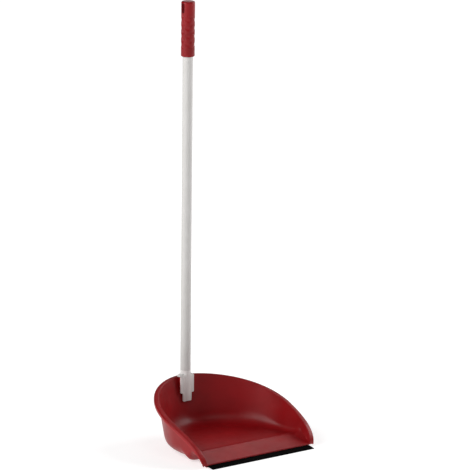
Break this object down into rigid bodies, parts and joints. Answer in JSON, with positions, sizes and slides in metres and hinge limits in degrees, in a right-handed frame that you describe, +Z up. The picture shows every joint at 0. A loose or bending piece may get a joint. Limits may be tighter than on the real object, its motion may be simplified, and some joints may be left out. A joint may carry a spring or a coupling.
{
  "type": "long-handled dustpan",
  "caption": "Upright dustpan: a deep moulded pan with a sloping ramp and rubber lip, and a straight tube handle that clips over its back wall.",
  "frame": {"origin": "on the floor, under the middle of the whole object's box", "axes": "+X to the right across the pan, -Y out of the pan's open edge with the lip, +Z up along the handle"},
  "size_m": [0.304, 0.265, 0.88],
  "materials": {
    "pan_plastic": "dark red polypropylene, moulded, satin to gloss",
    "lip_rubber": "black extruded rubber, matt",
    "connector_plastic": "white polypropylene, moulded, satin",
    "tube_steel": "thin welded steel tube, hidden under its sheath",
    "sheath_plastic": "white plastic sheath, smooth, satin",
    "grip_plastic": "dark red polypropylene, moulded with staggered scallops, satin"
  },
  "bodies": {
    "pan_body": {"pan": "pan_plastic", "rubber_lip": "lip_rubber"},
    "handle": {"connector": "connector_plastic", "steel_tube": "tube_steel", "tube_sheath": "sheath_plastic", "hand_grip": "grip_plastic"}
  },
  "joints": [
    {"name": "handle_lift", "type": "slide", "parent": "pan_body", "child": "handle", "axis": [0, 0, 1], "range_m": [0, 0.055]}
  ]
}
